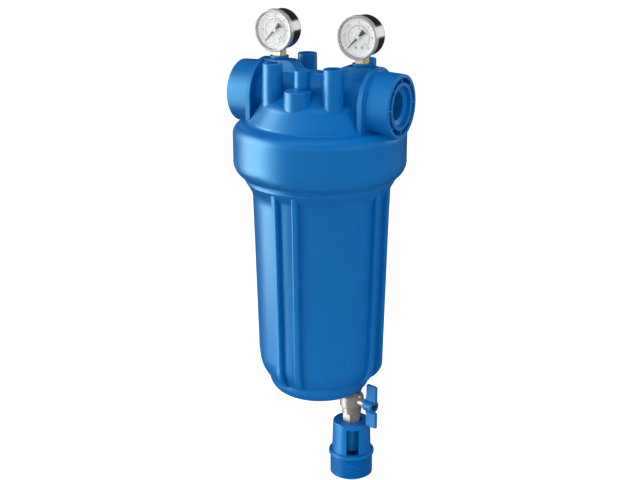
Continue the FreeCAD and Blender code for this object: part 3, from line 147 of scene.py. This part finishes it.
def mixed_colour(tree, factor, first, second):
    node = add_node(tree, "ShaderNodeMix", data_type="RGBA")
    colours = [item for item in node.inputs if item.type == "RGBA"]
    colours[0].default_value = (*first, 1.0)
    colours[1].default_value = (*second, 1.0)
    tree.links.new(factor, node.inputs["Factor"])
    return [item for item in node.outputs if item.type == "RGBA"][0]


def bumped(tree, heights, normal=None):
    """Chain of bumps: each item is a height output, a strength and a distance."""
    for height, strength, distance in heights:
        node = add_node(tree, "ShaderNodeBump", Strength=strength, Distance=distance)
        tree.links.new(height, node.inputs["Height"])
        if normal is not None:
            tree.links.new(normal, node.inputs["Normal"])
        normal = node.outputs["Normal"]
    return normal


def soft_edges(tree, radius):
    node = add_node(tree, "ShaderNodeBevel", samples=6)
    node.inputs["Radius"].default_value = radius
    return node.outputs["Normal"]


def moulded_plastic(name, base, light, roughness=0.38):
    """Satin moulded plastic: faint flow shading, fine spark-eroded grain and softened edges."""
    material, tree, shader = new_material(name)
    colour = mixed_colour(tree, noise(tree, 22.0), base, light)
    tree.links.new(colour, shader.inputs["Base Color"])
    vary(tree, shader.inputs["Roughness"], 60.0, roughness - 0.04, roughness + 0.05)
    grain = noise(tree, 2600.0, 2.0)
    ripple = noise(tree, 90.0, 1.0)
    bumps = [(grain, 0.10, 0.04 * MM), (ripple, 0.08, 0.10 * MM)]
    normal = bumped(tree, bumps, soft_edges(tree, 0.45 * MM))
    tree.links.new(normal, shader.inputs["Normal"])
    shader.inputs["Specular IOR Level"].default_value = 0.8
    shader.inputs["Specular Tint"].default_value = SHEEN_TINT
    return material


def plated_metal(name, colour, dark, roughness=0.24, cast=0.12, metallic=1.0):
    """Plated metal: cloudy roughness, faint tool lines round the upright axis and a slightly cast skin."""
    material, tree, shader = new_material(name)
    tree.links.new(mixed_colour(tree, noise(tree, 180.0, 4.0), dark, colour), shader.inputs["Base Color"])
    shader.inputs["Metallic"].default_value = metallic
    vary(tree, shader.inputs["Roughness"], 420.0, roughness - 0.05, roughness + 0.08)
    coordinates = add_node(tree, "ShaderNodeTexCoord")
    lines = add_node(tree, "ShaderNodeTexWave", bands_direction="Z", Scale=900.0, Distortion=0.6)
    tree.links.new(coordinates.outputs["Object"], lines.inputs["Vector"])
    normal = bumped(
        tree, [(lines.outputs["Fac"], 0.04, 0.02 * MM), (noise(tree, 700.0, 2.0), cast, 0.04 * MM)],
        soft_edges(tree, 0.25 * MM))
    tree.links.new(normal, shader.inputs["Normal"])
    return material


def enamel(name, colour, second, roughness, glow=0.0):
    """Gloss or matt enamel with a fine orange-peel skin; glow is painted light, an emission in the lighter
    colour that makes up for the window's shade.
    """
    material, tree, shader = new_material(name)
    tree.links.new(mixed_colour(tree, noise(tree, 300.0), colour, second), shader.inputs["Base Color"])
    vary(tree, shader.inputs["Roughness"], 700.0, roughness - 0.03, roughness + 0.04)
    normal = bumped(tree, [(noise(tree, 1500.0, 1.0), 0.06, 0.03 * MM)], soft_edges(tree, 0.2 * MM))
    tree.links.new(normal, shader.inputs["Normal"])
    # Painted light: the enamel glows in its lighter colour, as strongly as glow asks
    shader.inputs["Emission Color"].default_value = (*second, 1.0)
    shader.inputs["Emission Strength"].default_value = glow
    return material


def glossy_black(name):
    """Black stove enamel under a hard clear skin that mirrors the room strongly."""
    material, tree, shader = new_material(name)
    tree.links.new(mixed_colour(tree, noise(tree, 300.0), (0.006, 0.006, 0.007), (0.010, 0.010, 0.012)),
                   shader.inputs["Base Color"])
    vary(tree, shader.inputs["Roughness"], 700.0, 0.10, 0.16)
    shader.inputs["Coat Weight"].default_value = 1.0
    shader.inputs["Coat IOR"].default_value = 3.2
    shader.inputs["Coat Roughness"].default_value = 0.20
    normal = bumped(tree, [(noise(tree, 1500.0, 1.0), 0.05, 0.02 * MM)], soft_edges(tree, 0.3 * MM))
    tree.links.new(normal, shader.inputs["Normal"])
    return material


def clear_ring(name):
    """Grey-tinted glossy plastic of the gauge's snap ring."""
    material, tree, shader = new_material(name)
    tree.links.new(mixed_colour(tree, noise(tree, 250.0), (0.40, 0.41, 0.43), (0.48, 0.49, 0.51)),
                   shader.inputs["Base Color"])
    shader.inputs["Metallic"].default_value = 0.3
    vary(tree, shader.inputs["Roughness"], 500.0, 0.20, 0.28)
    normal = bumped(tree, [(noise(tree, 800.0, 1.0), 0.05, 0.03 * MM)], soft_edges(tree, 0.2 * MM))
    tree.links.new(normal, shader.inputs["Normal"])
    return material


def clear_glass(name):
    """Flat clear window: light passes straight through, with a weak mirror that grows towards the edges."""
    material, tree, shader = new_material(name)
    shader.inputs["Base Color"].default_value = (0.95, 0.96, 0.97, 1.0)
    shader.inputs["Metallic"].default_value = 1.0
    vary(tree, shader.inputs["Roughness"], 200.0, 0.02, 0.06)
    clear = add_node(tree, "ShaderNodeBsdfTransparent", Color=(0.96, 0.97, 0.97, 1.0))
    facing = add_node(tree, "ShaderNodeFresnel", IOR=1.2)
    mix = add_node(tree, "ShaderNodeMixShader")
    tree.links.new(facing.outputs["Fac"], mix.inputs[0])
    tree.links.new(clear.outputs["BSDF"], mix.inputs[1])
    tree.links.new(shader.outputs["BSDF"], mix.inputs[2])
    tree.links.new(mix.outputs["Shader"], tree.nodes["Material Output"].inputs["Surface"])
    return material


def rubber(name):
    material, tree, shader = new_material(name)
    tree.links.new(mixed_colour(tree, noise(tree, 400.0), (0.010, 0.010, 0.011), (0.022, 0.022, 0.023)),
                   shader.inputs["Base Color"])
    vary(tree, shader.inputs["Roughness"], 900.0, 0.5, 0.7)
    tree.links.new(bumped(tree, [(noise(tree, 2000.0), 0.2, 0.04 * MM)]), shader.inputs["Normal"])
    return material


def filter_sheet(name):
    """Spun-bonded polyester: a matted tangle of fibres."""
    material, tree, shader = new_material(name)
    coordinates = add_node(tree, "ShaderNodeTexCoord")
    fibres = add_node(tree, "ShaderNodeTexVoronoi", feature="DISTANCE_TO_EDGE", Scale=900.0)
    tree.links.new(coordinates.outputs["Object"], fibres.inputs["Vector"])
    tree.links.new(mixed_colour(tree, noise(tree, 350.0, 5.0), (0.72, 0.71, 0.67), (0.86, 0.86, 0.83)),
                   shader.inputs["Base Color"])
    shader.inputs["Roughness"].default_value = 0.85
    shader.inputs["Sheen Weight"].default_value = 0.2
    tree.links.new(bumped(tree, [(fibres.outputs["Distance"], 0.4, 0.1 * MM)]), shader.inputs["Normal"])
    return material


def printed_ink(name, colour, second):
    material, tree, shader = new_material(name)
    tree.links.new(mixed_colour(tree, noise(tree, 2500.0), colour, second), shader.inputs["Base Color"])
    vary(tree, shader.inputs["Roughness"], 1500.0, 0.45, 0.6)
    return material


def paint(node, material):
    """Gives a CAD node one procedural material in place of its packed one."""
    slots = NODES[node].data.materials
    slots.clear()
    slots.append(material)


# ---------------------------------------------------------------- gauge print


def flat_piece(name, build, height_y):
    """Thin printed layer on a dial: build fills a bmesh in x and z, which is then thickened."""
    mesh = bpy.data.meshes.new(name)
    work = bmesh.new()
    build(work)
    made = bmesh.ops.extrude_face_region(work, geom=work.faces[:])
    moved = [item for item in made["geom"] if isinstance(item, bmesh.types.BMVert)]
    bmesh.ops.translate(work, verts=moved, vec=Vector((0, -PRINT_THICKNESS, 0)))
    bmesh.ops.recalc_face_normals(work, faces=work.faces)
    bmesh.ops.translate(work, verts=work.verts, vec=Vector((0, height_y, 0)))
    work.to_mesh(mesh)
    work.free()
    piece = bpy.data.objects.new(name, mesh)
    bpy.context.scene.collection.objects.link(piece)
    return piece


def add_polygon(work, points):
    verts = [work.verts.new((x, 0, z)) for x, z in points]
    work.faces.new(verts)


def add_tick(work, centre, angle, inner, outer, width):
    """Radial tick on a dial, by its angle in degrees from +X towards +Z."""
    along = Vector((math.cos(math.radians(angle)), math.sin(math.radians(angle))))
    across = Vector((-along.y, along.x)) * (width / 2)
    corners = [
        along * inner - across, along * outer - across,
        along * outer + across, along * inner + across]
    add_polygon(work, [(centre.x + corner.x, centre.z + corner.y) for corner in corners])


def add_arc(work, centre, start, sweep, inner, outer, steps=90):
    """Clockwise arc band on a dial from an angle over a sweep, in degrees."""
    for index in range(steps):
        first = math.radians(start - sweep * index / steps)
        second = math.radians(start - sweep * (index + 1) / steps)
        add_polygon(work, [
            (centre.x + inner * math.cos(first), centre.z + inner * math.sin(first)),
            (centre.x + outer * math.cos(first), centre.z + outer * math.sin(first)),
            (centre.x + outer * math.cos(second), centre.z + outer * math.sin(second)),
            (centre.x + inner * math.cos(second), centre.z + inner * math.sin(second))])


def scale_marks(centre, radius, majors, minors, major_length, minor_length, width):
    """Builder for a scale of major and minor ticks inside a radius."""
    def build(work):
        for index in range(majors * minors + 1):
            angle = SCALE_START - SCALE_SWEEP * index / (majors * minors)
            is_major = index % minors == 0
            length = major_length if is_major else minor_length
            thick = width * (1.6 if is_major else 1.0)
            add_tick(work, centre, angle, radius - length, radius, thick)
    return build


def dial_number(name, text, centre, angle, radius, size, height_y):
    """Upright numeral on the dial, centred at a polar place."""
    curve = bpy.data.curves.new(name, "FONT")
    curve.body = text
    curve.size = size
    curve.align_x = "CENTER"
    curve.align_y = "CENTER"
    curve.extrude = PRINT_THICKNESS / 2
    curve.resolution_u = 3
    label = bpy.data.objects.new(name, curve)
    bpy.context.scene.collection.objects.link(label)
    x = centre.x + radius * math.cos(math.radians(angle))
    z = centre.z + radius * math.sin(math.radians(angle))
    label.matrix_world = Matrix.Translation((x, height_y, z)) @ Matrix.Rotation(math.radians(90), 4, "X")
    return label


def joined_numbers(name, labels):
    """Joins text objects into one mesh piece."""
    graph = bpy.context.evaluated_depsgraph_get()
    work = bmesh.new()
    for label in labels:
        mesh = bpy.data.meshes.new_from_object(label.evaluated_get(graph))
        mesh.transform(label.matrix_world)
        work.from_mesh(mesh)
        bpy.data.meshes.remove(mesh)
    mesh = bpy.data.meshes.new(name)
    bmesh.ops.remove_doubles(work, verts=work.verts, dist=1e-7)
    work.to_mesh(mesh)
    work.free()
    for label in labels:
        bpy.data.objects.remove(label)
    piece = bpy.data.objects.new(name, mesh)
    bpy.context.scene.collection.objects.link(piece)
    return piece


def numbers(prefix, texts, centre, radius, size, height_y):
    labels = []
    bpy.context.view_layer.update()
    for index, text in enumerate(texts):
        angle = SCALE_START - SCALE_SWEEP * index / (len(texts) - 1)
        labels.append(dial_number(f"{prefix}_{index}", text, centre, angle, radius, size, height_y))
    bpy.context.view_layer.update()
    return joined_numbers(prefix, labels)


def print_dial(side, black_ink, red_ink):
    """Two plain scales on one gauge: dark outside, red inside."""
    low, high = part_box(side + "_dial")
    centre = (low + high) / 2
    radius = (high.x - low.x) / 2 - DIAL_RIM_WALL
    front = high.y - DIAL_THICKNESS - PRINT_LIFT
    outer = scale_marks(centre, radius * OUTER_SCALE, 6, 10, 2.0 * MM, 1.1 * MM, 0.15 * MM)
    inner_radius = radius * INNER_SCALE
    inner = scale_marks(centre, inner_radius, 8, 10, 1.5 * MM, 0.9 * MM, 0.13 * MM)

    def line(work):
        add_arc(work, centre, SCALE_START, SCALE_SWEEP, inner_radius, radius * INNER_LINE_EDGE)

    outer_ring = radius * OUTER_NUMBER_RING
    inner_ring = radius * INNER_NUMBER_RING
    outer_numbers = numbers(side + "_outer_numbers", OUTER_NUMBERS, centre, outer_ring, 2.5 * MM, front)
    inner_numbers = numbers(side + "_inner_numbers", INNER_NUMBERS, centre, inner_ring, 1.9 * MM, front)
    pieces = [
        (flat_piece(side + "_outer_scale", outer, front), black_ink),
        (flat_piece(side + "_inner_scale", inner, front), red_ink),
        (flat_piece(side + "_inner_line", line, front), red_ink),
        (outer_numbers, black_ink),
        (inner_numbers, red_ink)]
    for piece, ink in pieces:
        piece.data.materials.append(ink)
        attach(piece, "housing")


# ---------------------------------------------------------------- surroundings


def area_light(name, offset, target, width, height, power):
    """Rectangular lamp placed from its target and turned to face it."""
    data = bpy.data.lights.new(name, "AREA")
    data.shape = "RECTANGLE"
    data.size = width
    data.size_y = height
    data.energy = power
    light = bpy.data.objects.new(name, data)
    light.location = target + Vector(offset)
    light.rotation_euler = (-Vector(offset)).to_track_quat("-Z", "Y").to_euler()
    bpy.context.scene.collection.objects.link(light)
    return light


def by_ray(tree, kind, shader, other):
    """One shader for rays of a kind and another for the rest."""
    path = add_node(tree, "ShaderNodeLightPath")
    mix = add_node(tree, "ShaderNodeMixShader")
    tree.links.new(path.outputs[kind], mix.inputs[0])
    tree.links.new(other, mix.inputs[1])
    tree.links.new(shader, mix.inputs[2])
    return mix.outputs["Shader"]


def pale_floor(low_z):
    """Large pale floor just under the drain thread, bright enough to melt into the background."""
    material, tree, shader = new_material("pale_floor")
    tree.links.new(mixed_colour(tree, noise(tree, 3.0), (0.80, 0.80, 0.80), (0.82, 0.82, 0.82)),
                   shader.inputs["Base Color"])
    shader.inputs["Roughness"].default_value = 0.9
    shader.inputs["Specular IOR Level"].default_value = 0.1
    glow = add_node(tree, "ShaderNodeEmission", Strength=0.72)
    sheet = add_node(tree, "ShaderNodeAddShader")
    tree.links.new(shader.outputs["BSDF"], sheet.inputs[0])
    tree.links.new(glow.outputs["Emission"], sheet.inputs[1])
    surface = by_ray(tree, "Is Camera Ray", sheet.outputs["Shader"], shader.outputs["BSDF"])
    tree.links.new(surface, tree.nodes["Material Output"].inputs["Surface"])
    mesh = bpy.data.meshes.new("floor")
    half = FLOOR_HALF_WIDTH
    corners = [(-half, -half, low_z), (half, -half, low_z), (half, half, low_z), (-half, half, low_z)]
    mesh.from_pydata(corners, [], [(0, 1, 2, 3)])
    mesh.materials.append(material)
    floor = bpy.data.objects.new("floor", mesh)
    floor.visible_glossy = False
    bpy.context.scene.collection.objects.link(floor)


def studio_world():
    """White to the camera, soft on matt surfaces and nearly dark in reflections."""
    world = bpy.data.worlds.new("studio")
    world.use_nodes = True
    tree = world.node_tree
    dark = tree.nodes["Background"]
    dark.inputs["Color"].default_value = (0.90, 0.95, 1.0, 1.0)
    dark.inputs["Strength"].default_value = 0.03
    soft = add_node(tree, "ShaderNodeBackground", Strength=0.35)
    soft.inputs["Color"].default_value = (1.0, 1.0, 1.0, 1.0)
    white = add_node(tree, "ShaderNodeBackground", Strength=1.0)
    white.inputs["Color"].default_value = (1.0, 1.0, 1.0, 1.0)
    room = by_ray(tree, "Is Diffuse Ray", soft.outputs["Background"], dark.outputs["Background"])
    surface = by_ray(tree, "Is Camera Ray", white.outputs["Background"], room)
    tree.links.new(surface, tree.nodes["World Output"].inputs["Surface"])
    bpy.context.scene.world = world


def studio_lights(middle):
    """Lamps of the first table are seen only as sheen; those of the second only shade matt surfaces."""
    for name, setting in SHEEN_LAMPS.items():
        area_light(name, setting[0], middle, *setting[1:]).visible_diffuse = False
    for name, setting in SHADE_LAMPS.items():
        area_light(name, setting[0], middle, *setting[1:]).visible_glossy = False
    drain = middle + Vector(DRAIN_MIDDLE)
    spot = area_light("drain_spot", DRAIN_SPOT_OFFSET, drain, 0.24, 0.12, DRAIN_SPOT_POWER)
    spot.data.spread = math.radians(DRAIN_SPOT_SPREAD)
    spot.visible_glossy = False


def photo_camera():
    """Camera in front of the housing on its right, above the head and looking down."""
    azimuth = math.radians(CAMERA_AZIMUTH)
    pitch = math.radians(CAMERA_PITCH)
    data = bpy.data.cameras.new("camera")
    data.sensor_width = 36.0
    data.lens = 72.1
    data.shift_y = 0.027
    data.clip_start = 50.0 * MM
    camera = bpy.data.objects.new("camera", data)
    camera.location = (
        CAMERA_DISTANCE * math.sin(azimuth), -CAMERA_DISTANCE * math.cos(azimuth), CAMERA_HEIGHT)
    camera.rotation_euler = (math.radians(90) - pitch, 0, azimuth)
    bpy.context.scene.collection.objects.link(camera)
    bpy.context.scene.camera = camera


# ---------------------------------------------------------------- build


def paint_all():
    blue = moulded_plastic("blue_polypropylene", BLUE_PLASTIC, BLUE_PLASTIC_LIGHT)
    nylon = moulded_plastic("blue_nylon", BLUE_NYLON, BLUE_NYLON_LIGHT, 0.5)
    white = moulded_plastic("white_plastic", (0.70, 0.70, 0.68), (0.78, 0.78, 0.76))
    seal = rubber("seal_rubber")
    nickel = plated_metal("nickel_plate", NICKEL, (0.36, 0.335, 0.31), 0.40, 0.05, 0.6)
    chrome = plated_metal("chrome", (0.8, 0.8, 0.8), (0.72, 0.72, 0.72), 0.12, 0.02)
    steel = plated_metal("steel", STEEL, (0.50, 0.50, 0.50), 0.28, 0.06)
    brass = plated_metal("brass", BRASS, (0.70, 0.58, 0.37), 0.36, 0.05, 0.5)
    black = glossy_black("black_enamel")
    # The dial's glow of 0.16 is painted light that brightens it under the window's shade
    dial = enamel("white_enamel", (0.92, 0.92, 0.91), (0.95, 0.95, 0.94), 0.5, 0.16)
    pointer = enamel("black_pointer", (0.035, 0.037, 0.042), (0.05, 0.052, 0.058), 0.4)
    # The hub cap's glow of 0.2 is painted light that brightens it under the window's shade
    cap = enamel("pale_cap", (0.85, 0.85, 0.83), (0.90, 0.90, 0.88), 0.3, 0.2)
    ring = clear_ring("smoked_plastic")
    glass = clear_glass("clear_window")
    sheet = filter_sheet("filter_media")
    by_node = {
        "head": blue, "bowl": blue, "drain_adapter": blue, "vent_screw": blue, "valve_handle": nylon,
        "bowl_oring": seal, "vent_oring": seal, "drain_seal": seal, "valve_stem_orings": seal,
        "cartridge_top_gasket": seal, "cartridge_bottom_gasket": seal, "cartridge_media": sheet,
        "cartridge_core": white, "cartridge_top_cap": white, "cartridge_bottom_cap": white,
        "valve_seats": white,
        "valve_body": nickel, "valve_end": nickel, "valve_ball": chrome, "valve_stem": steel,
        "valve_handle_screw": steel}
    for side in ("inlet_gauge", "outlet_gauge"):
        by_node.update({
            side + "_socket": brass, side + "_case": black, side + "_bezel": ring, side + "_window": glass,
            side + "_dial": dial, side + "_dial_screws": steel, side + "_movement_frame": brass,
            side + "_bourdon_tube": brass, side + "_sector_gear": brass, side + "_pinion_arbor": cap,
            side + "_pointer": pointer})
    for node, material in by_node.items():
        paint(node, material)


paint_all()
black_ink = printed_ink("black_ink", (0.03, 0.03, 0.035), (0.06, 0.06, 0.065))
red_ink = printed_ink("red_ink", (0.62, 0.05, 0.04), (0.72, 0.09, 0.07))
for gauge in ("inlet_gauge", "outlet_gauge"):
    print_dial(gauge, black_ink, red_ink)

low_corner, high_corner = CAD_BOX
pale_floor(low_corner.z - 0.5 * MM)
studio_world()
studio_lights((low_corner + high_corner) / 2)
photo_camera()
bpy.context.scene.view_settings.view_transform = "Standard"
